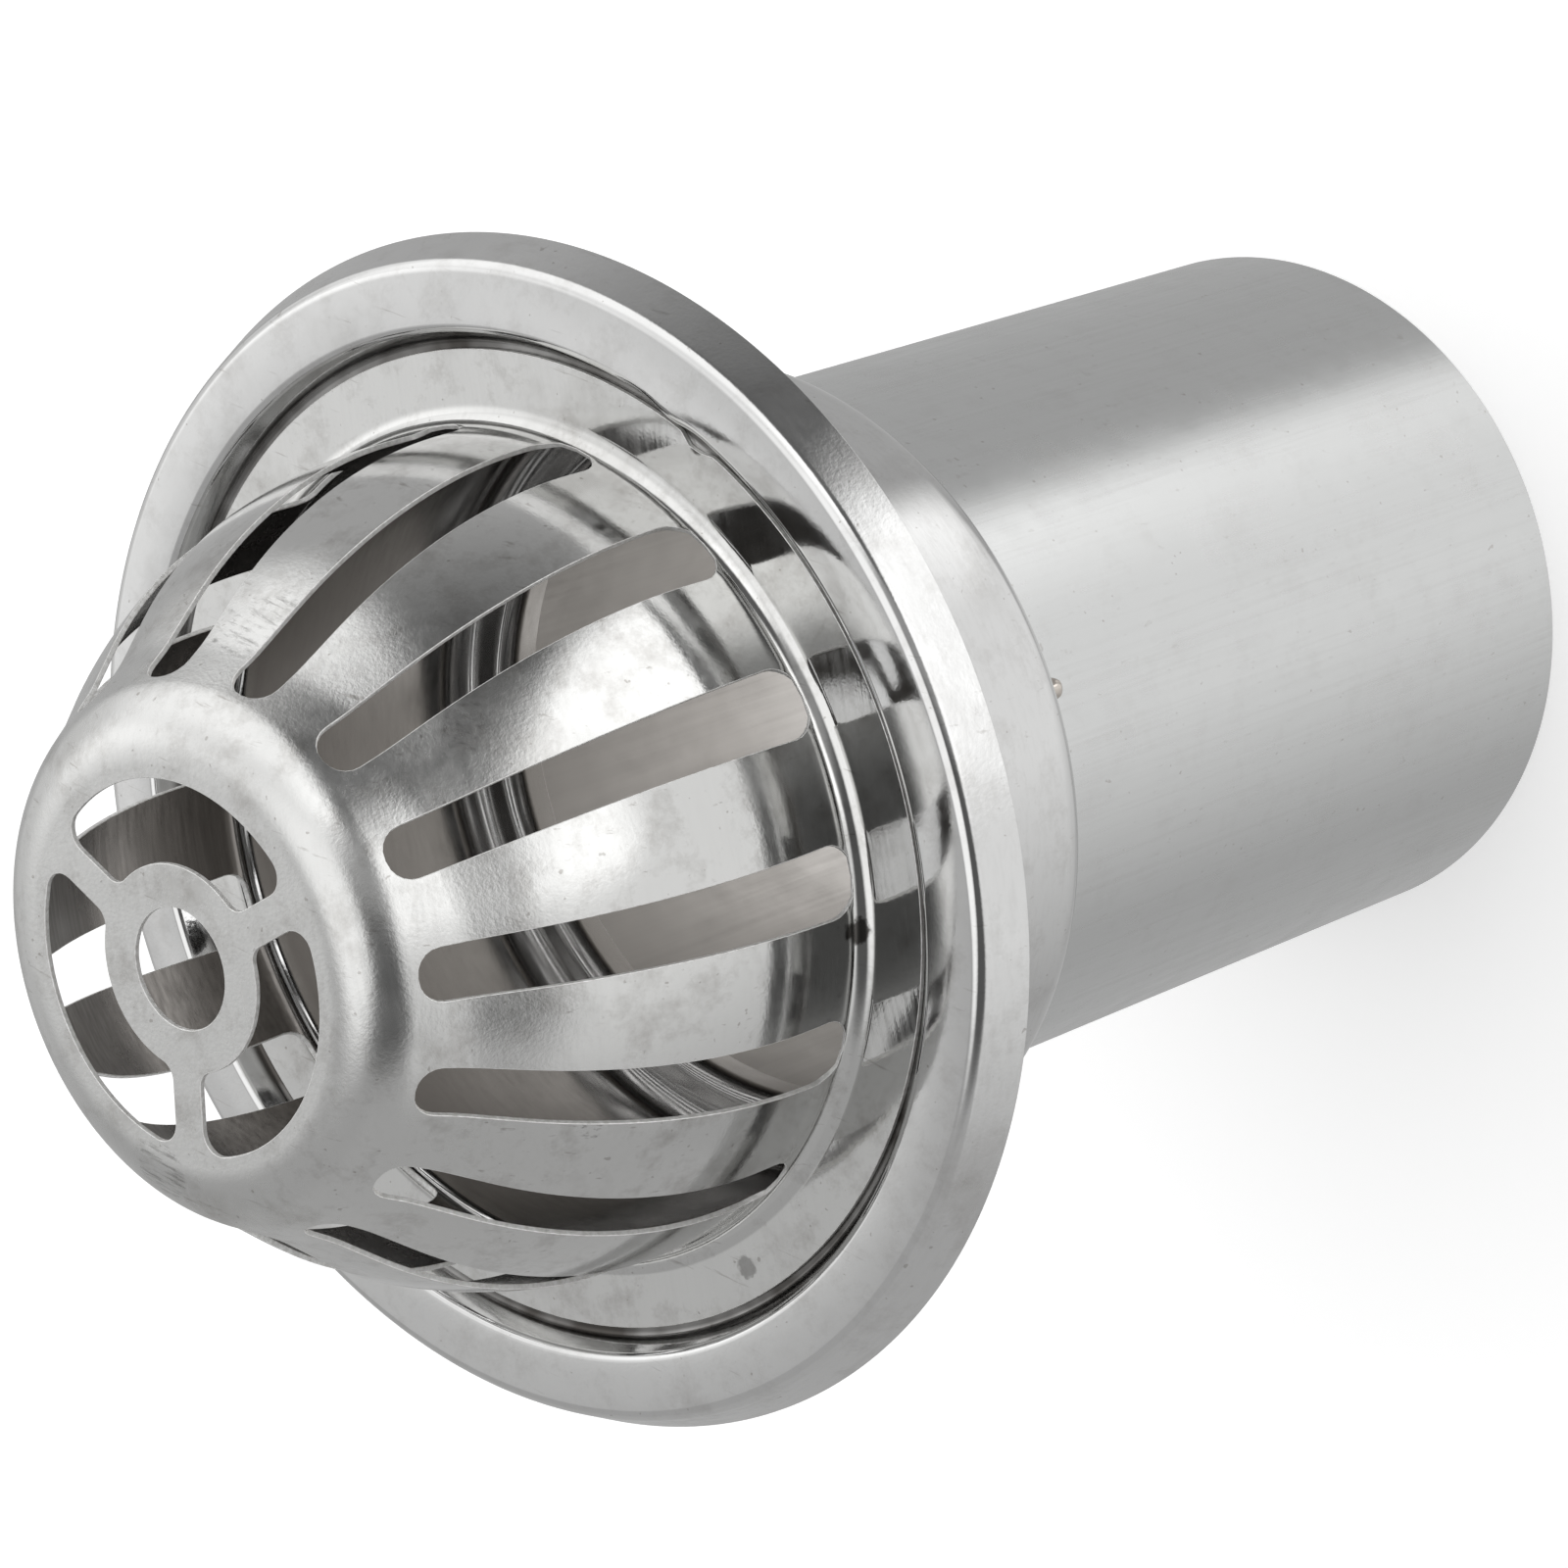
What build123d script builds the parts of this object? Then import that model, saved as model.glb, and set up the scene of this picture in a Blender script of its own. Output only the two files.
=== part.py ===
"""Downspout strainer: a slotted dome in a flanged cup, on an outlet tube.

Three pieces of stainless sheet and the tack welds that hold the lower two together. The dome
only rests in the recess of the cup's flange. Millimetres, +Z up along the common axis. The
origin is the centre of the outlet tube's lower end, and one spoke of the dome points along +X.
"""
from build123d import *
from math import cos, hypot, radians, sin
import os

# Heights with "level" in their name are above the origin. All others are above the brim's top.

# Dome strainer, measured on the outside of its sheet
dome_sheet = 0.5
brim_radius = 46.7
dome_height = 45.6
dome_base_radius = 39.6
base_fillet = 2.1
bulge_corner_height = 20.4
bulge_radius = 48.6
waist_radius = 27.5
waist_height = 37.4
waist_fillet = 20.0
shoulder_corner_radius = 22.9
shoulder_fillet = 7.7

# Slots round the dome
slot_count = 15
slot_top_height = 41.3
slot_bottom_height = 0.9
slot_top_width = 4.7
slot_top_corner = 2.25
slot_bottom_width = 6.8
slot_bottom_corner = 2.3
slot_tilt = 28.0

# Windows in the dome's flat top
window_count = 3
window_circle_radius = 17.2
ring_radius = 9.55
centre_hole_radius = 5.6
spoke_width = 3.5
window_outer_corner = 2.0
window_inner_corner = 1.7

# Flanged cup, measured on the upper and inner side of its sheet
cup_sheet = 0.6
brim_clearance = 0.9
recess_wall_slope = 1.2
flange_lip_height = 2.2
flange_dish = 0.25
flange_dish_radius = 51.8
bead_height = 2.5
skirt_corner_radius = 55.0
skirt_edge_radius = 57.1
skirt_drop = 2.3
cup_inner_radius = 40.0
cup_floor_depth = 31.8
neck_end_depth = 36.1
lip_fillet = 1.0
bead_fillet = 1.5
dish_fillet = 12.0
recess_fillet = 0.7
seat_fillet = 1.2
floor_fillet = 3.3
neck_fillet = 2.0

# Outlet tube
tube_radius = 35.0
tube_wall = 0.6
tube_end_depth = 114.7
neck_clearance = 0.1
tube_top_clearance = 0.1

# Tack welds between the tube and the cup
tack_count = 3
tack_radius = 1.2
tack_height = 3.6
tack_angle = -10.0

# Levels and radii that follow from the sizes above
brim_level = tube_end_depth
seat_height = -dome_sheet
tube_inner_radius = tube_radius - tube_wall
neck_inner_radius = tube_inner_radius - neck_clearance - cup_sheet
section_plane = Plane(origin=(0, 0, brim_level), x_dir=(1, 0, 0), z_dir=(0, -1, 0))

os.makedirs("parts", exist_ok=True)


# Dome strainer: one pressed sheet, from the flat top down to the edge of the brim
dome_outline = [
    (0, dome_height),
    (shoulder_corner_radius, dome_height),
    (waist_radius, waist_height),
    (dome_base_radius, bulge_corner_height),
    (dome_base_radius, 0),
    (brim_radius, 0),
]
dome_fillets = [shoulder_fillet, waist_fillet, bulge_radius, base_fillet]

# A slot is drawn as seen along a line that looks down on the wall at the slot's tilt
slot_line = Plane(
    origin=(0, 0, brim_level),
    x_dir=(0, 1, 0),
    z_dir=(cos(radians(slot_tilt)), 0, sin(radians(slot_tilt))),
)
neck_slope = (waist_radius - shoulder_corner_radius) / (dome_height - waist_height)
slot_top_radius = shoulder_corner_radius + neck_slope * (dome_height - slot_top_height)


def seen_along_slot_line(radius, height):
    """How high a point of the wall appears in the slot's own drawing."""
    return height * cos(radians(slot_tilt)) - radius * sin(radians(slot_tilt))


slot_top = seen_along_slot_line(slot_top_radius, slot_top_height)
slot_bottom = seen_along_slot_line(dome_base_radius, slot_bottom_height)

with BuildPart() as slot_cutter:
    with BuildSketch(slot_line) as slot_shape:
        with BuildLine():
            Polyline(
                (-slot_top_width / 2, slot_top),
                (slot_top_width / 2, slot_top),
                (slot_bottom_width / 2, slot_bottom),
                (-slot_bottom_width / 2, slot_bottom),
                close=True,
            )
        make_face()
        fillet(slot_shape.vertices().group_by(Axis.Y)[0], slot_bottom_corner)
        fillet(slot_shape.vertices().group_by(Axis.Y)[-1], slot_top_corner)
    extrude(amount=brim_radius + dome_height)

with BuildPart() as dome_strainer:
    with BuildSketch(section_plane):
        with BuildLine():
            outside = FilletPolyline(*dome_outline, radius=dome_fillets)
            offset(outside, amount=dome_sheet, side=Side.RIGHT, closed=True)
        make_face()
    revolve(axis=Axis.Z)
    with PolarLocations(0, slot_count):
        add(slot_cutter.part, mode=Mode.SUBTRACT)
    with BuildSketch(Plane.XY.offset(brim_level + dome_height)) as openings:
        Circle(window_circle_radius)
        Circle(ring_radius, mode=Mode.SUBTRACT)
        with PolarLocations(0, window_count):
            Rectangle(
                window_circle_radius + spoke_width,
                spoke_width,
                align=(Align.MIN, Align.CENTER),
                mode=Mode.SUBTRACT,
            )
        halfway = (ring_radius + window_circle_radius) / 2
        outer_corners = openings.vertices().filter_by(lambda v: hypot(v.X, v.Y) > halfway)
        fillet(outer_corners, window_outer_corner)
        inner_corners = openings.vertices().filter_by(lambda v: hypot(v.X, v.Y) < ring_radius * 1.02)
        fillet(inner_corners, window_inner_corner)
        Circle(centre_hole_radius)
    extrude(amount=dome_sheet, both=True, mode=Mode.SUBTRACT)
dome_strainer.part.label = "dome_strainer"
export_step(dome_strainer.part, "parts/dome_strainer.step")


# Flanged cup: one pressed sheet, from the skirt's edge in over the flange, down the cup and neck
recess_radius = brim_radius + brim_clearance
cup_outline = [
    (skirt_edge_radius, -skirt_drop),
    (skirt_corner_radius, bead_height),
    (flange_dish_radius, flange_lip_height - flange_dish),
    (recess_radius + recess_wall_slope, flange_lip_height),
    (recess_radius, seat_height),
    (cup_inner_radius, seat_height),
    (cup_inner_radius, -cup_floor_depth),
    (neck_inner_radius, -cup_floor_depth),
    (neck_inner_radius, -neck_end_depth),
]
cup_fillets = [
    bead_fillet,
    dish_fillet,
    lip_fillet,
    recess_fillet,
    seat_fillet,
    floor_fillet,
    neck_fillet,
]

with BuildPart() as flanged_cup:
    with BuildSketch(section_plane):
        with BuildLine():
            upper_side = FilletPolyline(*cup_outline, radius=cup_fillets)
            offset(upper_side, amount=cup_sheet, side=Side.LEFT, closed=True)
        make_face()
    revolve(axis=Axis.Z)
flanged_cup.part.label = "flanged_cup"
export_step(flanged_cup.part, "parts/flanged_cup.step")


# Outlet tube: plain rolled sheet, round the neck and up to just under the cup's floor
floor_underside = cup_floor_depth + cup_sheet
neck_bend = neck_fillet - cup_sheet
wall_offset = neck_inner_radius + neck_fillet - tube_inner_radius
tube_top_depth = floor_underside + neck_bend - (neck_bend**2 - wall_offset**2) ** 0.5 + tube_top_clearance
tube_length = tube_end_depth - tube_top_depth

with BuildPart() as outlet_tube:
    with BuildSketch(Plane.XY):
        Circle(tube_radius)
        Circle(tube_inner_radius, mode=Mode.SUBTRACT)
    extrude(amount=tube_length)
outlet_tube.part.label = "outlet_tube"
export_step(outlet_tube.part, "parts/outlet_tube.step")


# Tack welds: upright beads in the corner between the tube's upper end and the cup's floor
tack_centre_radius = tube_radius - tube_wall / 2 + tack_radius
tack_end_level = brim_level - floor_underside - tack_height
tack_root = cup_sheet / 2

with BuildPart() as tack_bead:
    Sphere(tack_radius)
    Cylinder(tack_radius, tack_height - tack_radius + tack_root, align=(Align.CENTER, Align.CENTER, Align.MIN))

with BuildPart() as tack_welds:
    with Locations(Plane.XY.offset(tack_end_level + tack_radius)):
        with PolarLocations(tack_centre_radius, tack_count, start_angle=tack_angle):
            add(tack_bead.part)
    add(flanged_cup.part, mode=Mode.SUBTRACT)
    add(outlet_tube.part, mode=Mode.SUBTRACT)
tack_welds.part.label = "tack_welds"
export_step(tack_welds.part, "parts/tack_welds.step")
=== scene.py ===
"""Looks of the downspout strainer: pressed dome, flanged cup, outlet tube and tack welds.

Metres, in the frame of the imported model: +Z up along the axis, origin at the tube's lower end.
"""
import math

import bmesh
import bpy
import numpy as np
from mathutils import Matrix, Vector, noise


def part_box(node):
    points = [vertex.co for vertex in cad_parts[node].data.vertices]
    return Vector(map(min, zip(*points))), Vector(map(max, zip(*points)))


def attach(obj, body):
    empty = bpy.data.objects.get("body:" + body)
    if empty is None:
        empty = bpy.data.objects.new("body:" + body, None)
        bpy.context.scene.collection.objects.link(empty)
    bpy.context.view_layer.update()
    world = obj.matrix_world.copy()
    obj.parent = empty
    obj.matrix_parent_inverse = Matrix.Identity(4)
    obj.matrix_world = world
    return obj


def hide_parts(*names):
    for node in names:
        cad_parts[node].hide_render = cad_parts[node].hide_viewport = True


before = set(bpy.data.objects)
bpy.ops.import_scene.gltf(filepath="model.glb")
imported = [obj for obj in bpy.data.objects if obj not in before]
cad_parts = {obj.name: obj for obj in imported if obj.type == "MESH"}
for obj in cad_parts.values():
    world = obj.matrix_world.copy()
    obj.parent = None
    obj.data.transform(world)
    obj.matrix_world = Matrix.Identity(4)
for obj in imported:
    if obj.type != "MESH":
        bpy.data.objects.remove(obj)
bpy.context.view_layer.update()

MM = 0.001

# Sheet thicknesses
DOME_SHEET = 0.5 * MM
CUP_SHEET = 0.6 * MM
TUBE_WALL = 0.6 * MM

# Levels and sizes taken from the frame
BRIM_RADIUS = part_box("dome_strainer")[1][0]
BRIM_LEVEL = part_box("dome_strainer")[0][2] + DOME_SHEET
DOME_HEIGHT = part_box("dome_strainer")[1][2] - BRIM_LEVEL
SKIRT_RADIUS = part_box("flanged_cup")[1][0]
TUBE_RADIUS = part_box("outlet_tube")[1][0]
TUBE_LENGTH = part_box("outlet_tube")[1][2]

# Dome, heights above the brim's top, on the outside of the sheet
DOME_BASE_RADIUS = 39.6 * MM
BULGE_CORNER_HEIGHT = 20.4 * MM
WAIST = (27.5 * MM, 37.4 * MM)
SHOULDER_CORNER_RADIUS = 22.9 * MM
DOME_FILLETS = (7.7 * MM, 20.0 * MM, 48.6 * MM, 2.1 * MM)

# Slots and windows
SLOT_COUNT = 15
SLOT_TILT = math.radians(28.0)
SLOT_TOP_HEIGHT = 41.3 * MM
SLOT_BOTTOM_HEIGHT = 0.9 * MM
SLOT_TOP_WIDTH = 4.7 * MM
SLOT_BOTTOM_WIDTH = 6.8 * MM
SLOT_TOP_CORNER = 2.25 * MM
SLOT_BOTTOM_CORNER = 2.3 * MM
WINDOW_COUNT = 3
WINDOW_CIRCLE_RADIUS = 17.2 * MM
RING_RADIUS = 9.55 * MM
CENTRE_HOLE_RADIUS = 5.6 * MM
SPOKE_WIDTH = 3.5 * MM
WINDOW_OUTER_CORNER = 2.0 * MM
WINDOW_INNER_CORNER = 1.7 * MM

# Flanged cup, on the upper and inner side of the sheet
CUP_OUTLINE = [
    (SKIRT_RADIUS, -2.3 * MM),
    (55.0 * MM, 2.2 * MM),
    (51.8 * MM, 2.3 * MM),
    (BRIM_RADIUS + 2.1 * MM, 2.2 * MM),
    (BRIM_RADIUS + 0.9 * MM, -DOME_SHEET),
    (40.0 * MM, -DOME_SHEET),
    (40.0 * MM, -31.8 * MM),
    (33.7 * MM, -31.8 * MM),
    (33.7 * MM, -36.1 * MM),
]
CUP_FILLETS = [size * MM for size in (1.5, 30.0, 1.0, 0.7, 1.2, 3.3, 2.0)]

# Tack welds: beads under the cup's floor, each a little lumpy
TACK_COUNT = 3
TACK_ANGLE = math.radians(-10.0)
TACK_RADIUS = 1.2 * MM
TACK_HEIGHT = 3.6 * MM
CUP_FLOOR_UNDERSIDE = 32.4 * MM
TACK_FULLNESS = 0.9
LUMP_SIZE = 0.8 * MM
LUMP_HEIGHT = 0.12
LUMP_SHIFT = 3

# Fineness of the meshes
ARC_STEP = math.radians(4.0)
DOME_ARC_STEP = math.radians(1.0)
LEAST_ARC_STEPS = 3
RIB_COLUMNS = 14
SLOT_END_ROWS = 6
SLOT_SIDE_ROWS = 46
LONGEST_DOME_STEP = 1.3 * MM
CLEAR_ABOVE_SLOTS = 0.15 * MM
CLEAR_BELOW_SLOTS = 0.1 * MM
SLOT_END_TOLERANCE = 0.001 * MM
WINDOW_OUTER_POINTS = 49
WINDOW_INNER_POINTS = 25
WINDOW_CORNER_POINTS = 9
SAME_POINT = 0.01 * MM
CENTRE_HOLE_POINTS = 72
LONGEST_CUP_STEP = 2.2 * MM
TURN_STEPS = 300
TUBE_RINGS = 25
TACK_SUBDIVISIONS = 4
CUT_EDGE_BEVEL = 0.08 * MM
CUT_EDGE_SEGMENTS = 2
SHARP_ANGLE = math.radians(40)

# Damage seen on the part: a nick in the brim's edge, and the flange's lip pushed in beside it
NICK_AZIMUTH = math.radians(31.8)
NICK_DEPTH = 1.1 * MM
NICK_WIDTH = math.radians(1.2)
NICK_REACH = 1.2 * MM
LIP_DENT_AZIMUTH = math.radians(34.8)
LIP_DENT_DEPTH = 0.55 * MM
LIP_DENT_WIDTH = math.radians(2.6)
LIP_DENT_RADIUS = BRIM_RADIUS + 1.9 * MM
LIP_DENT_REACH = 1.4 * MM
LIP_DENT_BOTTOM = BRIM_LEVEL - 1 * MM


# Outlines

def filleted(points, radii, arc_step=ARC_STEP):
    """Points of an open outline whose inner corners are rounded with tangent arcs."""
    out = [Vector(points[0])]
    for before, corner, after, radius in zip(points, points[1:], points[2:], radii):
        corner = Vector(corner)
        back = (Vector(before) - corner).normalized()
        on = (Vector(after) - corner).normalized()
        half = back.angle(on) / 2
        tangent = radius / math.tan(half)
        centre = corner + (back + on).normalized() * (radius / math.sin(half))
        start = corner + back * tangent - centre
        end = corner + on * tangent - centre
        turn = start.angle_signed(end)
        steps = max(LEAST_ARC_STEPS, math.ceil(abs(turn) / arc_step))
        for i in range(steps + 1):
            spin = Matrix.Rotation(-turn * i / steps, 2)
            out.append(centre + spin @ start)
    out.append(Vector(points[-1]))
    return out


def lengths_along(points):
    """Distance of each point from the first, along the outline."""
    steps = [(b - a).length for a, b in zip(points, points[1:])]
    return np.concatenate([[0.0], np.cumsum(steps)])


def refined(points, longest):
    """The same outline with no step longer than the given length."""
    out = [points[0]]
    for a, b in zip(points, points[1:]):
        count = max(1, math.ceil((b - a).length / longest))
        out += [a.lerp(b, i / count) for i in range(1, count + 1)]
    return out


def arc_points(centre_radius, centre_angle, radius, start, end, count):
    """Points of an arc whose centre is given by its distance from the axis and its angle."""
    x = centre_radius * math.cos(centre_angle)
    y = centre_radius * math.sin(centre_angle)
    angles = [start + (end - start) * i / (count - 1) for i in range(count)]
    return [(x + radius * math.cos(q), y + radius * math.sin(q)) for q in angles]


def without_repeats(points):
    """The closed outline without the points that fall on the one before them."""
    kept = []
    for point in points:
        if not kept or math.dist(point, kept[-1]) > SAME_POINT:
            kept.append(point)
    if math.dist(kept[0], kept[-1]) < SAME_POINT:
        kept.pop()
    return kept


def turned_about_axis(points, angle):
    """Flat points turned by an angle about the axis."""
    c = math.cos(angle)
    s = math.sin(angle)
    return [(x * c - y * s, x * s + y * c) for x, y in points]


# Mesh helpers

def new_piece(name, bm, node, materials):
    """Turns a bmesh into a piece that rides on the part and stands for a node of the frame."""
    mesh = bpy.data.meshes.new(name)
    bmesh.ops.recalc_face_normals(bm, faces=bm.faces)
    bm.to_mesh(mesh)
    bm.free()
    for material in materials:
        mesh.materials.append(material)
    piece = bpy.data.objects.new(name, mesh)
    bpy.context.scene.collection.objects.link(piece)
    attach(piece, "root")
    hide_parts(node)
    return piece


def apply_modifiers(piece):
    """Bakes the piece's modifiers into its mesh."""
    graph = bpy.context.evaluated_depsgraph_get()
    baked = bpy.data.meshes.new_from_object(piece.evaluated_get(graph))
    old = piece.data
    piece.modifiers.clear()
    piece.data = baked
    bpy.data.meshes.remove(old)


def shade_smooth(piece):
    """Shades every face of the piece smooth."""
    for polygon in piece.data.polygons:
        polygon.use_smooth = True


def soften_edges(piece):
    """Rounds the sharp cut edges a little, so that they catch the light, and shades the rest smooth."""
    bevel = piece.modifiers.new("cut_edges", "BEVEL")
    bevel.material = len(piece.data.materials) - 1
    bevel.width = CUT_EDGE_BEVEL
    bevel.segments = CUT_EDGE_SEGMENTS
    bevel.limit_method = "ANGLE"
    bevel.angle_limit = SHARP_ANGLE
    bevel.use_clamp_overlap = False
    bevel.harden_normals = True
    shade_smooth(piece)
    apply_modifiers(piece)


def bump_at(value, centre, width):
    """1 at the centre, fading to 0 within about two widths."""
    return math.exp(-(((value - centre) / width) ** 2))


def unevenness(point, size, height):
    """A smooth irregular height over the surface, the same in every run."""
    return noise.noise(Vector(point) / size) * height


# Dome strainer

def dome_outline():
    """The dome's outside, from the middle of its flat top to the brim's edge."""
    points = [
        (0, DOME_HEIGHT),
        (SHOULDER_CORNER_RADIUS, DOME_HEIGHT),
        WAIST,
        (DOME_BASE_RADIUS, BULGE_CORNER_HEIGHT),
        (DOME_BASE_RADIUS, 0),
        (BRIM_RADIUS, 0),
    ]
    return filleted(points, DOME_FILLETS, DOME_ARC_STEP)


def seen_along_slot_line(radius, height):
    """How high a point of the wall appears in the slot's own drawing."""
    return height * math.cos(SLOT_TILT) - radius * math.sin(SLOT_TILT)


def slot_ends():
    """Heights of the slot's top and bottom in its own drawing."""
    waist_slope = (WAIST[0] - SHOULDER_CORNER_RADIUS) / (DOME_HEIGHT - WAIST[1])
    top_radius = SHOULDER_CORNER_RADIUS + waist_slope * (DOME_HEIGHT - SLOT_TOP_HEIGHT)
    top = seen_along_slot_line(top_radius, SLOT_TOP_HEIGHT)
    bottom = seen_along_slot_line(DOME_BASE_RADIUS, SLOT_BOTTOM_HEIGHT)
    return top, bottom


def slot_half_width(v, top, bottom):
    """Half the slot's width where the wall appears at height v in the slot's drawing."""
    if not bottom + SLOT_END_TOLERANCE < v < top - SLOT_END_TOLERANCE:
        return 0.0
    share = (top - v) / (top - bottom)
    half = (SLOT_TOP_WIDTH * (1 - share) + SLOT_BOTTOM_WIDTH * share) / 2
    for end, corner in ((top, SLOT_TOP_CORNER), (bottom, SLOT_BOTTOM_CORNER)):
        inside = corner - abs(end - v)
        if inside > 0:
            half -= corner - math.sqrt(max(0.0, corner**2 - inside**2))
    return half


def slot_rows(top, bottom):
    """Heights in the slot's drawing that get a row of the mesh, closer together in its round ends."""
    quarter = np.linspace(0, math.pi / 2, SLOT_END_ROWS)
    rows = [top - SLOT_TOP_CORNER * (1 - math.cos(q)) for q in quarter]
    rows += list(np.linspace(rows[-1], bottom + SLOT_BOTTOM_CORNER, SLOT_SIDE_ROWS)[1:-1])
    rows += [bottom + SLOT_BOTTOM_CORNER * (1 - math.sin(q)) for q in quarter]
    return np.array(rows)


def dome_rows():
    """Radius, height and slot half width of each row of the dome's mesh, flat top's edge to brim."""
    outline = dome_outline()
    along = lengths_along(outline)
    radii = np.array([p.x for p in outline])
    heights = np.array([p.y for p in outline])
    top, bottom = slot_ends()
    seen = seen_along_slot_line(radii, heights)
    beside_slots = np.interp(-slot_rows(top, bottom), -seen, along)
    above = along[(along > 0) & (along < beside_slots[0] - CLEAR_ABOVE_SLOTS)]
    below = along[along > beside_slots[-1] + CLEAR_BELOW_SLOTS]
    rows = np.unique(np.concatenate([above, beside_slots, below]))

    fine = [rows[0]]
    for a, b in zip(rows, rows[1:]):
        count = max(1, math.ceil((b - a) / LONGEST_DOME_STEP))
        fine += [a + (b - a) * i / count for i in range(1, count + 1)]
    out = []
    for s in fine:
        r = float(np.interp(s, along, radii))
        h = float(np.interp(s, along, heights))
        out.append((r, h, slot_half_width(seen_along_slot_line(r, h), top, bottom)))
    return out


def nicked(radius, azimuth):
    """The radius, less where the brim's edge has its nick."""
    depth = NICK_DEPTH * bump_at(azimuth, NICK_AZIMUTH, NICK_WIDTH)
    return radius - depth * bump_at(radius, BRIM_RADIUS, NICK_REACH)


def add_dome_row(bm, radius, height, half_width):
    """Vertices of one row, as a list for each rib from one slot's edge to the next slot's."""
    pitch = 2 * math.pi / SLOT_COUNT
    edge = math.asin(half_width / radius)
    count = RIB_COLUMNS + 1 if half_width > 0 else RIB_COLUMNS
    row = []
    for k in range(SLOT_COUNT):
        start = k * pitch + edge
        end = (k + 1) * pitch - edge
        rib = []
        for j in range(count):
            q = start + (end - start) * j / RIB_COLUMNS
            r = nicked(radius, q)
            rib.append(bm.verts.new((r * math.cos(q), r * math.sin(q), BRIM_LEVEL + height)))
        row.append(rib)
    if half_width == 0:
        # Without a slot between them, neighbouring ribs share their edge
        for k in range(SLOT_COUNT):
            row[k].append(row[(k + 1) % SLOT_COUNT][0])
    return row


def add_dome_wall(bm):
    """Grids of faces between the slots, down to the brim. Gives the vertices round the flat top."""
    rows = [add_dome_row(bm, *row) for row in dome_rows()]
    for upper, lower in zip(rows, rows[1:]):
        for above, below in zip(upper, lower):
            for j in range(RIB_COLUMNS):
                bm.faces.new((above[j], above[j + 1], below[j + 1], below[j]))
    return [vert for rib in rows[0] for vert in rib[:RIB_COLUMNS]]


def corner_centre(radius, fillet, side):
    """Where a window corner's rounding is centred: its distance from the axis and its angle.

    The rounding touches the spoke's edge and the window's round edge of the given radius. side
    is 1 where the window lies outside that edge, and -1 where it lies inside.
    """
    centre_radius = radius + side * fillet
    centre_angle = math.pi / WINDOW_COUNT - math.asin((SPOKE_WIDTH / 2 + fillet) / centre_radius)
    return centre_radius, centre_angle


def window_corner(centre_radius, centre_angle, fillet, start, end):
    """Points of one rounded corner of a window."""
    return arc_points(centre_radius, centre_angle, fillet, start, end, WINDOW_CORNER_POINTS)


def rounded_window():
    """Outline of one window between two spokes, about the middle of the window at angle 0."""
    outer, outer_angle = corner_centre(WINDOW_CIRCLE_RADIUS, WINDOW_OUTER_CORNER, -1)
    inner, inner_angle = corner_centre(RING_RADIUS, WINDOW_INNER_CORNER, 1)
    # Directions from a corner's centre to the spoke beside it, for the window's two ends
    to_spoke = math.pi / WINDOW_COUNT + math.pi / 2
    to_other_spoke = math.pi * 1.5 - math.pi / WINDOW_COUNT
    return without_repeats(
        arc_points(0, 0, WINDOW_CIRCLE_RADIUS, -outer_angle, outer_angle, WINDOW_OUTER_POINTS)
        + window_corner(outer, outer_angle, WINDOW_OUTER_CORNER, outer_angle, to_spoke)
        + window_corner(inner, inner_angle, WINDOW_INNER_CORNER, to_spoke, inner_angle + math.pi)
        + arc_points(0, 0, RING_RADIUS, inner_angle, -inner_angle, WINDOW_INNER_POINTS)
        + window_corner(inner, -inner_angle, WINDOW_INNER_CORNER, math.pi - inner_angle, to_other_spoke)
        + window_corner(outer, -outer_angle, WINDOW_OUTER_CORNER, -to_spoke, -outer_angle)
    )


def add_loop(bm, flat_points):
    """A closed loop of edges in the flat top."""
    level = BRIM_LEVEL + DOME_HEIGHT
    verts = [bm.verts.new((x, y, level)) for x, y in flat_points]
    return [bm.edges.new((a, b)) for a, b in zip(verts, verts[1:] + verts[:1])]


def add_flat_top(bm, rim):
    """Fills the flat top inside its rim, around the windows and the centre hole."""
    edges = [bm.edges.get(pair) for pair in zip(rim, rim[1:] + rim[:1])]
    window = rounded_window()
    for k in range(WINDOW_COUNT):
        edges += add_loop(bm, turned_about_axis(window, (k + 0.5) * 2 * math.pi / WINDOW_COUNT))
    angles = [2 * math.pi * i / CENTRE_HOLE_POINTS for i in range(CENTRE_HOLE_POINTS)]
    hole = [(CENTRE_HOLE_RADIUS * math.cos(q), CENTRE_HOLE_RADIUS * math.sin(q)) for q in angles]
    edges += add_loop(bm, hole)
    bmesh.ops.triangle_fill(bm, edges=edges, use_beauty=True, use_dissolve=False)


def thicken_dome(piece):
    """Gives the skin the sheet's thickness, inwards, with the cut edges in the last material."""
    sheet = piece.modifiers.new("sheet", "SOLIDIFY")
    sheet.thickness = DOME_SHEET
    sheet.offset = -1
    sheet.use_even_offset = True
    sheet.material_offset_rim = 1
    apply_modifiers(piece)


def build_dome():
    """The dome, drawn as its outside skin and then thickened."""
    bm = bmesh.new()
    rim = add_dome_wall(bm)
    add_flat_top(bm, rim)
    piece = new_piece("dome", bm, "dome_strainer", [dome_material(), cut_material()])
    thicken_dome(piece)
    soften_edges(piece)


# Flanged cup

def revolved(outline):
    """A closed surface of revolution from a closed outline of radius and height over the brim."""
    bm = bmesh.new()
    rings = []
    for i in range(TURN_STEPS):
        q = 2 * math.pi * i / TURN_STEPS
        ring = [(p.x * math.cos(q), p.x * math.sin(q), BRIM_LEVEL + p.y) for p in outline]
        rings.append([bm.verts.new(point) for point in ring])
    for ring, following in zip(rings, rings[1:] + rings[:1]):
        for j in range(len(outline)):
            k = (j + 1) % len(outline)
            bm.faces.new((ring[j], following[j], following[k], ring[k]))
    return bm


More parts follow.
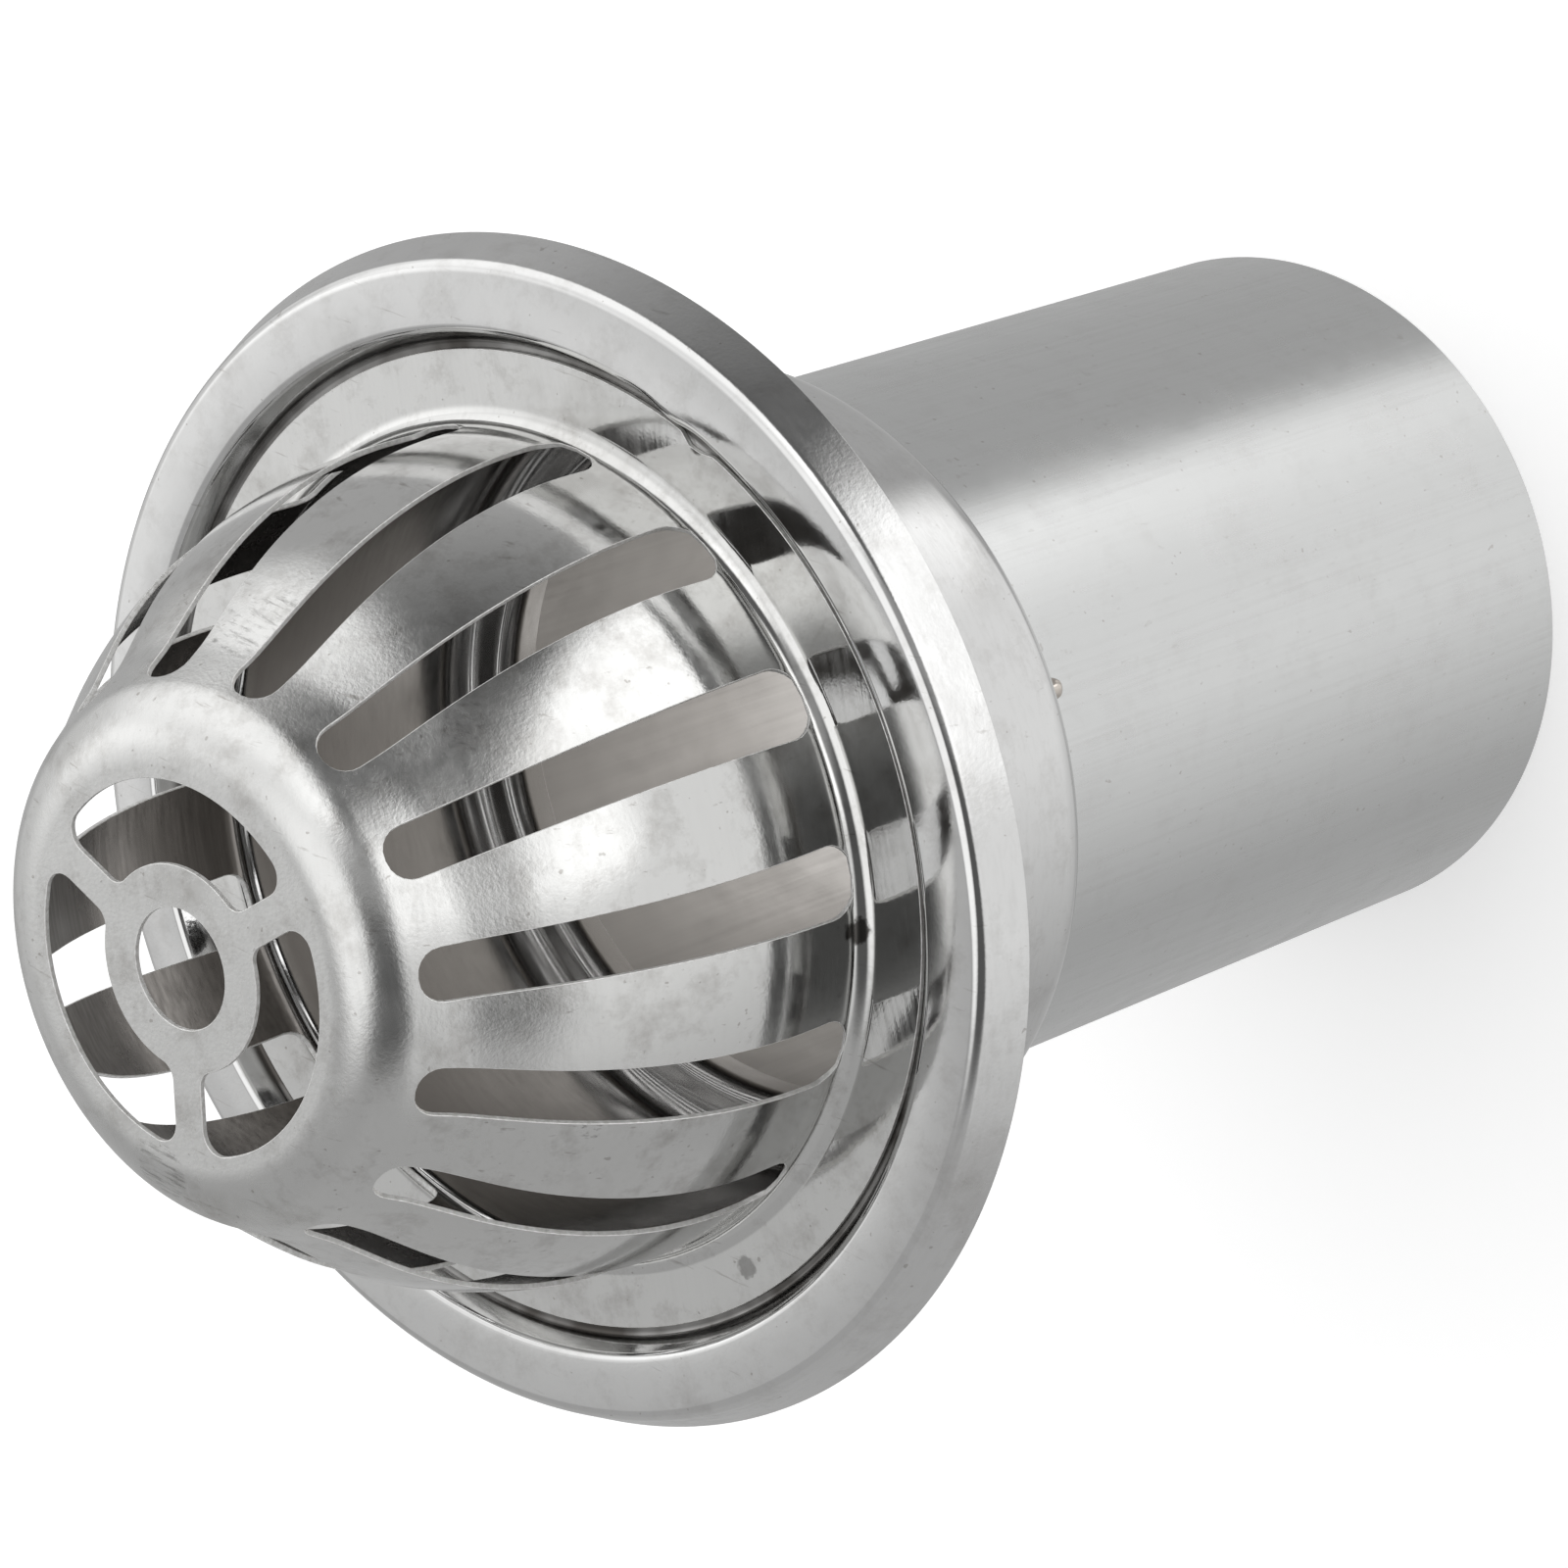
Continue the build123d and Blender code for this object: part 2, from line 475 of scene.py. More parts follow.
def sheet_section(outline, thickness):
    """Closed section of a sheet whose upper side follows the outline, which runs inwards."""
    under = []
    for i, p in enumerate(outline):
        before = outline[max(i - 1, 0)]
        after = outline[min(i + 1, len(outline) - 1)]
        run = (after - before).normalized()
        under.append(p + Vector((-run.y, run.x)) * thickness)
    return outline + under[::-1]


def dent_lip(bm):
    """Pushes the flange's lip in, beside the nick in the brim."""
    for vert in bm.verts:
        if vert.co.z > LIP_DENT_BOTTOM:
            radius = math.hypot(vert.co.x, vert.co.y)
            azimuth = math.atan2(vert.co.y, vert.co.x)
            dent = LIP_DENT_DEPTH * bump_at(azimuth, LIP_DENT_AZIMUTH, LIP_DENT_WIDTH)
            dent *= bump_at(radius, LIP_DENT_RADIUS, LIP_DENT_REACH)
            vert.co.xy *= 1 - dent / radius


def build_cup():
    """The flanged cup, revolved from its section, with the dent in its lip."""
    outline = refined(filleted(CUP_OUTLINE, CUP_FILLETS), LONGEST_CUP_STEP)
    bm = revolved(sheet_section(outline, CUP_SHEET))
    dent_lip(bm)
    piece = new_piece("cup", bm, "flanged_cup", [cup_material()])
    soften_edges(piece)


# Outlet tube and welds

def build_tube():
    """The outlet tube, open at both ends."""
    outer = [Vector((TUBE_RADIUS, z - BRIM_LEVEL)) for z in np.linspace(0, TUBE_LENGTH, TUBE_RINGS)]
    inner = [Vector((TUBE_RADIUS - TUBE_WALL, p.y)) for p in reversed(outer)]
    piece = new_piece("tube", revolved(outer + inner), "outlet_tube", [tube_material()])
    soften_edges(piece)


def add_tack(bm, angle):
    """One weld bead at the tube's upper end: a lumpy ball, drawn out up to the cup's floor."""
    reach = TUBE_RADIUS - TUBE_WALL / 2 + TACK_RADIUS
    top = BRIM_LEVEL - CUP_FLOOR_UNDERSIDE
    stretch = (TACK_HEIGHT - TACK_RADIUS) / TACK_RADIUS
    centre = Vector((reach * math.cos(angle), reach * math.sin(angle), top - TACK_HEIGHT + TACK_RADIUS))
    ball = bmesh.ops.create_icosphere(bm, subdivisions=TACK_SUBDIVISIONS, radius=TACK_RADIUS)
    for vert in ball["verts"]:
        # The shift gives each bead lumps of its own
        lump = unevenness(vert.co + centre * LUMP_SHIFT, LUMP_SIZE, LUMP_HEIGHT)
        shape = vert.co * (TACK_FULLNESS + lump)
        if shape.z > 0:
            shape.z = min(shape.z * stretch, TACK_HEIGHT - TACK_RADIUS)
        vert.co = centre + shape


def build_tacks():
    """The weld beads, evenly spaced round the tube."""
    bm = bmesh.new()
    for k in range(TACK_COUNT):
        add_tack(bm, TACK_ANGLE + 2 * math.pi * k / TACK_COUNT)
    piece = new_piece("tacks", bm, "tack_welds", [weld_material()])
    shade_smooth(piece)


# Nodes of materials and of the surroundings

class Nodes:
    """Short calls that add nodes to a tree. Values are numbers, colours or other nodes' outputs."""

    def __init__(self, tree):
        self.tree = tree
        self.coordinates = tree.nodes.new("ShaderNodeTexCoord").outputs

    def link(self, value, socket):
        """Connects a node's output to the socket, or sets the socket to a plain value."""
        if hasattr(value, "is_linked"):
            self.tree.links.new(value, socket)
        else:
            socket.default_value = value

    def stretched(self, scale, turn=0.0):
        """Object coordinates, turned about Z and then scaled along each axis."""
        turned = self.tree.nodes.new("ShaderNodeMapping")
        self.link(self.coordinates["Object"], turned.inputs["Vector"])
        turned.inputs["Rotation"].default_value = (0, 0, turn)
        scaled = self.tree.nodes.new("ShaderNodeMapping")
        self.link(turned.outputs["Vector"], scaled.inputs["Vector"])
        scaled.inputs["Scale"].default_value = scale
        return scaled.outputs["Vector"]

    def noise(self, scale, detail, rough, vector=None):
        """Smooth noise from 0 to 1, in object coordinates where no others are given."""
        node = self.tree.nodes.new("ShaderNodeTexNoise")
        node.inputs["Scale"].default_value = scale
        node.inputs["Detail"].default_value = detail
        node.inputs["Roughness"].default_value = rough
        self.link(vector or self.coordinates["Object"], node.inputs["Vector"])
        return node.outputs["Fac"]

    def ramp(self, value, low, high, start=0.0, end=1.0, smooth=False):
        """Carries value from the range low to high onto the range start to end."""
        node = self.tree.nodes.new("ShaderNodeMapRange")
        node.interpolation_type = "SMOOTHSTEP" if smooth else "LINEAR"
        self.link(value, node.inputs["Value"])
        node.inputs["From Min"].default_value = low
        node.inputs["From Max"].default_value = high
        node.inputs["To Min"].default_value = start
        node.inputs["To Max"].default_value = end
        return node.outputs["Result"]

    def soft(self, value, low, high, start=0.0, end=1.0):
        """A ramp that eases in and out."""
        return self.ramp(value, low, high, start, end, smooth=True)

    def math(self, kind, a, b):
        """Result of one step of arithmetic."""
        node = self.tree.nodes.new("ShaderNodeMath")
        node.operation = kind
        self.link(a, node.inputs[0])
        self.link(b, node.inputs[1])
        return node.outputs["Value"]

    def total(self, first, *others):
        """The values added up."""
        result = first
        for value in others:
            result = self.math("ADD", result, value)
        return result

    def product(self, first, *others):
        """The values multiplied together."""
        result = first
        for value in others:
            result = self.math("MULTIPLY", result, value)
        return result

    def vector_math(self, kind, a, b):
        """The node for one step of arithmetic on vectors."""
        node = self.tree.nodes.new("ShaderNodeVectorMath")
        node.operation = kind
        self.link(a, node.inputs[0])
        self.link(b, node.inputs[1])
        return node

    def vector(self, kind, a, b):
        """A vector worked out from two others."""
        return self.vector_math(kind, a, b).outputs["Vector"]

    def dot(self, a, b):
        """Dot product of two vectors."""
        return self.vector_math("DOT_PRODUCT", a, b).outputs["Value"]

    def length(self, vector):
        """Length of a vector."""
        return self.math("SQRT", self.dot(vector, vector), 0.0)

    def mixed(self, kind, sockets, share, a, b):
        """Mix node of the given kind, from a where share is 0 to b where it is 1."""
        node = self.tree.nodes.new("ShaderNodeMix")
        node.data_type = kind
        for value, socket in zip((share, a, b), sockets):
            self.link(value, node.inputs[socket])
        return node

    def blend(self, share, a, b):
        """A number between a and b."""
        return self.mixed("FLOAT", (0, 2, 3), share, a, b).outputs[0]

    def mix(self, share, a, b):
        """A colour between a and b."""
        return self.mixed("RGBA", (0, 6, 7), share, a, b).outputs[2]

    def bump(self, height, strength, distance, under=None):
        """Normal of a surface with this relief, over the relief under it where that is given."""
        node = self.tree.nodes.new("ShaderNodeBump")
        self.link(strength, node.inputs["Strength"])
        node.inputs["Distance"].default_value = distance
        self.link(height, node.inputs["Height"])
        if under is not None:
            self.link(under, node.inputs["Normal"])
        return node.outputs["Normal"]


# Colours and finishes

# Painted shade on the inner sides, with the brush lines in it, and a dark colour for dirt and for
# painted shade in corners
INNER_SHADE_COLOUR = (0.37, 0.36, 0.35, 1)
INNER_SHADE_STREAK_COLOUR = (0.12, 0.115, 0.11, 1)
DIRT_AND_SHADE_COLOUR = (0.07, 0.065, 0.06, 1)

# Sheared edges, painted pale and half metallic as a painted highlight, and where they are torn deepest
CUT_HIGHLIGHT_COLOUR = (0.92, 0.92, 0.91, 1)
TORN_COLOUR = (0.6, 0.59, 0.57, 1)
CUT_METALLIC = 0.5

# Noises of the metal's surface: how many to a metre, fine detail, and how strong that detail is
SLOW_WAVES = (110.0, 1.5, 0.4)
SMUDGES = (60.0, 5.0, 0.62)
MOTTLING = (220.0, 6.0, 0.72)
BLOTCHES = (300.0, 3.0, 0.5)
SPECKS = (1300.0, 1.5, 0.4)
PITS = (2600.0, 2.5, 0.6)
TORN_EDGE = (1800.0, 3.0, 0.6)
GROOVE_PATCHES = (90.0, 3.0, 0.6)
RAGGED_RIM = (1100.0, 3.0, 0.6)

# Noises in stretched coordinates, whose scale is in the stretch
GRAIN = (1.0, 3.0, 0.6)
SCUFFS = (1.0, 3.0, 0.65)
SCUFF_LINES = (1.0, 5.0, 0.7)

# How many to a metre along each axis in the stretched noises
DOME_GRAIN_STRETCH = (70, 1500, 1500)
TUBE_GRAIN_STRETCH = (2200, 2200, 28)
CUP_GRAIN_STRETCH = (350, 350, 1800)
SCUFF_STRETCH = (120, 1400, 500)
SCUFF_LINE_STRETCH = (260, 2400, 1300)

# Azimuths in radians: the rolled grain of the sheet that the dome was pressed from, and the scuffs
SHEET_GRAIN = math.radians(69.5)
SCUFF_TURN = 0.7

# Heights of the relief
WAVE_RELIEF = 0.12 * MM
GRAIN_RELIEF = 0.012 * MM
PIT_RELIEF = 0.04 * MM

# Strengths of the relief: of the grain where the sheet is clean and where it has painted shade, of
# the pits everywhere and of those that grainy places add, and of a torn edge
GRAIN_STRENGTH = (0.3, 0.1)
PIT_STRENGTH = 0.06
GRAINY_PIT_STRENGTH = 0.32
TORN_STRENGTH = 0.3

# Values of a noise between which its marks fade in
MOST_OF_NOISE = (0.3, 0.7)
SMUDGE_FADE = (0.55, 0.78)
MOTTLING_FADE = (0.5, 0.74)
SPECK_FADE = (0.74, 0.78)
SCUFF_FADE = (0.66, 0.76)
SCUFF_LINE_FADE = (0.5, 0.66)
GRAIN_TINT_FADE = (0.35, 0.75)
STREAK_FADE = (0.3, 0.72)
DULL_SMUDGE_FADE = (0.5, 0.8)
GROOVE_PATCH_FADE = (0.3, 0.6)
TORN_FADE = (0.3, 0.75)

# How dark specks are, and what each kind of mark adds to the roughness
SPECK_DIRT = 0.55
BLOTCH_ROUGHNESS = (-0.025, 0.035)
GRAIN_ROUGHNESS = (-0.03, 0.03)
SMUDGE_ROUGHNESS = (0.0, 0.08)
GRAINY_ROUGHNESS = 0.16
DIRTY_ROUGHNESS = 0.12
CUT_ROUGHNESS = (0.38, 0.55)

# Heights and radii between which one finish fades into another, and where painted shade fades in
NECK_HEIGHTS = (BRIM_LEVEL + 22 * MM, BRIM_LEVEL + 36 * MM)
BULGE_FOOT_HEIGHTS = (BRIM_LEVEL + 1 * MM, BRIM_LEVEL + 8 * MM)
SKIRT_RADII = (54.9 * MM, 55.6 * MM)
CUP_MOUTH_HEIGHTS = (BRIM_LEVEL - 1 * MM, BRIM_LEVEL - 3 * MM)
TUBE_END_HEIGHTS = (15 * MM, 55 * MM)
BRIM_EDGE_RADII = (BRIM_RADIUS - 0.12 * MM, BRIM_RADIUS - 0.02 * MM)
# Where the groove's painted shade and dirt fade out
GROOVE_TOP_HEIGHTS = (BRIM_LEVEL + 0.9 * MM, BRIM_LEVEL + 0.1 * MM)
GROOVE_FLOOR_HEIGHTS = (BRIM_LEVEL - 1.5 * MM, BRIM_LEVEL - 1.2 * MM)
GROOVE_INNER_RADII = (BRIM_RADIUS - 0.4 * MM, BRIM_RADIUS - 0.1 * MM)
GROOVE_OUTER_RADII = (BRIM_RADIUS + 1.5 * MM, BRIM_RADIUS + 1.1 * MM)

# Where the outside fades into the inside: how far outwards the surface faces, from -1 to 1, times
# its distance from the axis, or from the middle for the dome
DOME_TURNING_IN = (-3 * MM, -12 * MM)
CUP_TURNING_IN = (5 * MM, -30 * MM)
TUBE_TURNING_IN = (5 * MM, -5 * MM)

# Shares of a finish and of painted shade where they aren't full
RIB_GRAININESS = 0.3
SKIRT_GRAININESS = 0.8
CUP_INNER_SHADE = 0.8
TUBE_END_SHADE = 0.25
BRIM_EDGE_SHADE = 0.8
GROOVE_LEAST_SHADE_AND_DIRT = 0.55

# A mark's raggedness, and where it begins and is full, as shares of its radius
MARK_RAGGEDNESS = 0.3
MARK_BEGINS = 1.15
MARK_IS_FULL = 0.85

# Dark marks on the dome: where and how large a radius, both in millimetres, and how dark
DOME_MARKS = (
    ((33.9, -20.6, 115.4), 1.25, 0.95),
    ((3.1, -43.8, 114.7), 1.1, 0.5),
    ((39.5, 24.3, 114.7), 0.8, 0.9),
)
# Scuffed places, given the same way
DOME_SCUFFS = (
    ((30.8, 8.4, 146.1), 2.2, 0.6),
    ((15.9, 24.8, 150.2), 4.0, 0.5),
    ((20.6, -27.0, 142.3), 1.6, 0.6),
    ((3.0, -12.5, 160.2), 2.6, 0.5),
    ((-13.5, -15.0, 160.2), 3.0, 0.5),
)


# Places on the part, worked out from a point's position

def flat_position(n):
    """The position with its height left out."""
    return n.vector("MULTIPLY", n.coordinates["Object"], (1, 1, 0))


def radius_of(n):
    """Distance from the axis."""
    return n.length(flat_position(n))


def height_of(n):
    """Height over the tube's lower end."""
    return n.dot(n.coordinates["Object"], (0, 0, 1))


def facing_out(n):
    """Positive where the surface faces away from the axis, and negative where it faces the axis."""
    return n.dot(flat_position(n), n.coordinates["Normal"])


def neck_share(n):
    """1 in the drawn neck and shoulder of the dome, less on the ribs, 0 at the brim."""
    height = height_of(n)
    upper = n.soft(height, *NECK_HEIGHTS, RIB_GRAININESS, 1.0)
    return n.product(upper, n.soft(height, *BULGE_FOOT_HEIGHTS))


def skirt_share(n):
    """How grainy the flange's skirt is, which is duller than its face. 0 on the face."""
    return n.soft(radius_of(n), *SKIRT_RADII, 0.0, SKIRT_GRAININESS)


def inside_dome(n):
    """Painted shade: 1 on the dome's inner side, 0 on its outside and brim."""
    from_middle = n.vector("SUBTRACT", n.coordinates["Object"], (0, 0, BRIM_LEVEL))
    return n.ramp(n.dot(from_middle, n.coordinates["Normal"]), *DOME_TURNING_IN)


def inside_cup(n):
    """Painted shade on the inner side of the cup's wall and neck, less on its floor, none on the
    flange.
    """
    inner = n.ramp(facing_out(n), *CUP_TURNING_IN)
    return n.product(inner, n.ramp(height_of(n), *CUP_MOUTH_HEIGHTS), CUP_INNER_SHADE)


def inside_tube(n):
    """Painted shade: 1 on the tube's inner side, less towards its open end."""
    inner = n.ramp(facing_out(n), *TUBE_TURNING_IN)
    return n.product(inner, n.soft(height_of(n), *TUBE_END_HEIGHTS, TUBE_END_SHADE, 1.0))


def groove_shade_and_dirt(n):
    """Painted shade and dirt in the groove between the brim and the flange, thickest at its bottom and
    patchy.
    """
    height = height_of(n)
    radius = radius_of(n)
    patchy = n.ramp(n.noise(*GROOVE_PATCHES), *GROOVE_PATCH_FADE, GROOVE_LEAST_SHADE_AND_DIRT, 1.0)
    across = n.product(n.ramp(radius, *GROOVE_INNER_RADII), n.ramp(radius, *GROOVE_OUTER_RADII), patchy)
    return n.product(n.ramp(height, *GROOVE_TOP_HEIGHTS), n.ramp(height, *GROOVE_FLOOR_HEIGHTS), across)


def mark_at(n, centre, radius, darkness):
    """darkness within a ragged round mark about a point, given in millimetres."""
    away = n.vector("SUBTRACT", n.coordinates["Object"], tuple(value * MM for value in centre))
    raggedness = MARK_RAGGEDNESS * radius * MM
    shift = n.ramp(n.noise(*RAGGED_RIM), *MOST_OF_NOISE, -raggedness, raggedness)
    ragged = n.total(n.length(away), shift)
    return n.ramp(ragged, MARK_BEGINS * radius * MM, MARK_IS_FULL * radius * MM, 0.0, darkness)


def dome_marks(n):
    """Painted shade along the brim's edge, the dark marks and the scuffed places."""
    # Painted shade: a dark line along the brim's edge, where it meets the flange
    dirt = n.ramp(radius_of(n), *BRIM_EDGE_RADII, 0.0, BRIM_EDGE_SHADE)
    for mark in DOME_MARKS:
        dirt = n.math("MAXIMUM", dirt, mark_at(n, *mark))
    line_noise = n.noise(*SCUFF_LINES, n.stretched(SCUFF_LINE_STRETCH, SCUFF_TURN))
    lines = n.ramp(line_noise, *SCUFF_LINE_FADE)
    for scuff in DOME_SCUFFS:
        dirt = n.math("MAXIMUM", dirt, n.product(lines, mark_at(n, *scuff)))
    return dirt


# Materials

def new_material(name):
    """A new material, the calls that add its nodes, and its shader."""
    material = bpy.data.materials.new(name)
    material.use_nodes = True
    return material, Nodes(material.node_tree), material.node_tree.nodes["Principled BSDF"]


def handling_dirt(n, smudges, grain_height, amount, scuffing, grain_tint):
    """How dirty the outside is, with smudges, mottling, specks, scuffs and a tint of the grain."""
    mottling = n.ramp(n.noise(*MOTTLING), *MOTTLING_FADE)
    scuff_noise = n.noise(*SCUFFS, n.stretched(SCUFF_STRETCH, SCUFF_TURN))
    return n.total(
        n.product(n.total(n.ramp(smudges, *SMUDGE_FADE), mottling), amount),
        n.product(n.ramp(n.noise(*SPECKS), *SPECK_FADE), SPECK_DIRT),
        n.ramp(scuff_noise, *SCUFF_FADE, 0.0, scuffing),
        n.ramp(grain_height, *GRAIN_TINT_FADE, -grain_tint / 2, grain_tint),
    )


def sheet_roughness(n, roughness, smudges, grain_height, grainy, dirty):
    """Roughness of the sheet, uneven with its blotches, grain and smudges."""
    return n.total(
        n.ramp(n.noise(*BLOTCHES), *MOST_OF_NOISE, *BLOTCH_ROUGHNESS),
        roughness,
        n.ramp(grain_height, *MOST_OF_NOISE, *GRAIN_ROUGHNESS),
        n.ramp(smudges, *DULL_SMUDGE_FADE, *SMUDGE_ROUGHNESS),
        n.product(grainy, GRAINY_ROUGHNESS),
        n.product(dirty, DIRTY_ROUGHNESS),
    )


def sheet_relief(n, grain_height, grainy, inner_shade, wave):
    """Normal of the sheet, with slow waves, the rolled grain and fine pits."""
    waves = n.bump(n.noise(*SLOW_WAVES), wave, WAVE_RELIEF)
    lines = n.bump(grain_height, n.ramp(inner_shade, 0.0, 1.0, *GRAIN_STRENGTH), GRAIN_RELIEF, waves)
    pit_strength = n.total(PIT_STRENGTH, n.product(grainy, GRAINY_PIT_STRENGTH))
    return n.bump(n.noise(*PITS), pit_strength, PIT_RELIEF, lines)


def steel(name, colour, dirt_colour, roughness, grain, dirt_amount, coarse=None, painted_shade=None, dirt_and_shade=None,
          wave=0.4, grain_tint=0.08, scuffing=0.3, streaks_and_shade=(0.0, 0.15)):
    """Stainless sheet with rolled grain, smudges, blotches and specks.

    grain is the stretch of the rolled grain, and its turn where it has one. coarse, dull and soot
    are functions that give shares of 0 to 1: where pressing has left the surface grainy, where the
    inner side has painted shade, and where dirt sits and shade is painted in the groove and along the
    brim's edge. dirt_amount, wave, grain_tint and scuffing are strengths of the smudges and mottling,
    the slow waves, the grain's tint and the scuffs. streaks gives the least and the most that the
    brush lines show in the painted shade of the inner side, which high values also darken.
    """
    material, n, shader = new_material(name)
    grainy = coarse(n) if coarse else 0.0
    inner_shade = painted_shade(n) if painted_shade else 0.0
    dirt_and_shade_share = dirt_and_shade(n) if dirt_and_shade else 0.0
    grain_height = n.noise(*GRAIN, n.stretched(*grain))
    smudges = n.noise(*SMUDGES)

    dirt = handling_dirt(n, smudges, grain_height, dirt_amount, scuffing, grain_tint)
    clean = n.mix(n.ramp(dirt, 0.0, 1.0), colour, dirt_colour)
    # Painted shade: the inner sides take a darker colour, with the brush lines in it
    shaded_inner = n.mix(n.ramp(grain_height, *STREAK_FADE, *streaks_and_shade), INNER_SHADE_COLOUR, INNER_SHADE_STREAK_COLOUR)
    # Painted shade and dirt: the groove and the brim's edge take a dark colour, as do the dome's dark
    # marks
    seen = n.mix(dirt_and_shade_share, n.mix(inner_shade, clean, shaded_inner), DIRT_AND_SHADE_COLOUR)
    # Roughness rises with the painted shade of the inner sides and with the dirt
    dirty = n.total(inner_shade, dirt_and_shade_share)
    rough = sheet_roughness(n, roughness, smudges, grain_height, grainy, dirty)
    relief = sheet_relief(n, grain_height, grainy, inner_shade, wave)

    shader.inputs["Metallic"].default_value = 1.0
    n.link(seen, shader.inputs["Base Color"])
    n.link(rough, shader.inputs["Roughness"])
    n.link(relief, shader.inputs["Normal"])
    return material


def dome_material():
    """The dome's steel: grainy in the neck, marked and scuffed outside with painted shade at the brim's
    edge, brushed with painted shade inside.
    """
    return steel(
        "dome_steel",
        colour=(0.63, 0.63, 0.62, 1),
        dirt_colour=(0.3, 0.285, 0.265, 1),
        roughness=0.075,
        grain=(DOME_GRAIN_STRETCH, -SHEET_GRAIN),
        dirt_amount=0.5,
        coarse=neck_share,
        painted_shade=inside_dome,
        dirt_and_shade=dome_marks,
        wave=0.6,
        grain_tint=0.04,
        scuffing=0.6,
        streaks_and_shade=(0.62, 0.95),
    )


def cup_material():
    """The cup's steel: bright on the flange's face, painted shade and dirt in the groove, painted shade
    inside.
    """
    return steel(
        "cup_steel",
        colour=(0.66, 0.66, 0.655, 1),
        dirt_colour=(0.36, 0.345, 0.325, 1),
        roughness=0.075,
        grain=(CUP_GRAIN_STRETCH,),
        dirt_amount=0.3,
        coarse=skirt_share,
        painted_shade=inside_cup,
        dirt_and_shade=groove_shade_and_dirt,
        scuffing=0.45,
    )


def tube_material():
    """The tube's steel: satin, with its grain along the tube, and painted shade inside."""
    return steel(
        "tube_steel",
        colour=(0.64, 0.645, 0.64, 1),
        dirt_colour=(0.42, 0.4, 0.38, 1),
        roughness=0.23,
        grain=(TUBE_GRAIN_STRETCH,),
        dirt_amount=0.15,
        painted_shade=inside_tube,
        wave=0.2,
        streaks_and_shade=(0.0, 0.03),
    )


def weld_material():
    """The weld beads' metal: a little yellow and dirty."""
    return steel(
        "weld_steel",
        colour=(0.62, 0.57, 0.52, 1),
        dirt_colour=(0.2, 0.15, 0.12, 1),
        roughness=0.16,
        grain=(CUP_GRAIN_STRETCH,),
        dirt_amount=0.7,
    )


def cut_material():
    """Sheared edge of the sheet: matt and finely torn, and painted pale as a painted highlight along
    the cut.
    """
    material, n, shader = new_material("cut_steel")
    torn = n.noise(*TORN_EDGE)
    # Painted highlight: a pale, half matt colour makes the cut edges shine
    shader.inputs["Metallic"].default_value = CUT_METALLIC
    n.link(n.mix(n.ramp(torn, *TORN_FADE), CUT_HIGHLIGHT_COLOUR, TORN_COLOUR), shader.inputs["Base Color"])
    n.link(n.ramp(torn, *MOST_OF_NOISE, *CUT_ROUGHNESS), shader.inputs["Roughness"])
    n.link(n.bump(torn, TORN_STRENGTH, PIT_RELIEF), shader.inputs["Normal"])
    return material


# Camera, in the photograph's place

CAMERA_AIM = Vector((-0.0003, -0.0024, 0.0806))
CAMERA_DISTANCE = 0.6262
CAMERA_AZIMUTH = math.radians(-6.18)
CAMERA_ELEVATION = math.radians(45.97)
CAMERA_ROLL = math.radians(109.51)
CAMERA_LENS = 148.96
CAMERA_SENSOR = 36.0
CAMERA_NEAREST = 0.01
CAMERA_FURTHEST = 50.0


def direction(azimuth, elevation):
    """Unit vector towards an azimuth and elevation given in radians."""
    flat = math.cos(elevation)
    return Vector((flat * math.cos(azimuth), flat * math.sin(azimuth), math.sin(elevation)))


def photo_axes():
    """The photograph's right, its up, and towards the camera, as unit vectors."""
    near = direction(CAMERA_AZIMUTH, CAMERA_ELEVATION)
    level = Vector((0, 0, 1)).cross(near).normalized()
    upright = near.cross(level)
    up = upright * math.cos(CAMERA_ROLL) + level * math.sin(CAMERA_ROLL)
    return up.cross(near), up, near


def add_camera():
    """The camera, rolled as the photograph's was."""
    data = bpy.data.cameras.new("camera")
    data.lens = CAMERA_LENS
    data.sensor_width = CAMERA_SENSOR
    data.clip_start = CAMERA_NEAREST
    data.clip_end = CAMERA_FURTHEST
    camera = bpy.data.objects.new("camera", data)
    right, up, near = photo_axes()
    turn = Matrix((right, up, near)).transposed().to_4x4()
    camera.matrix_world = Matrix.Translation(CAMERA_AIM + near * CAMERA_DISTANCE) @ turn
    bpy.context.scene.collection.objects.link(camera)
    bpy.context.scene.camera = camera


# Floor and light

FLOOR_RADIUS = 4.0
FLOOR_SEGMENTS = 96
FLOOR_COLOUR = (0.9, 0.9, 0.9, 1)
FLOOR_ROUGHNESS = 0.95
FLOOR_GLOW = 0.4
WHITE = (1, 1, 1, 1)
TUBE_LIGHT_POWER = 0.0042
TUBE_LIGHT_COLOUR = (1.0, 0.9, 0.8)
TUBE_LIGHT_INSET = 2 * MM
TUBE_LIGHT_HEIGHT = 1 * MM

# Brightness of parts of the surroundings
LOW_LIGHT = 0.5
LEFT_LIGHT = 0.47
CAMERA_LIGHT = 0.4
CAMERA_SIDE_LIGHT = 0.12
OVERHEAD_LIGHT = 1.35


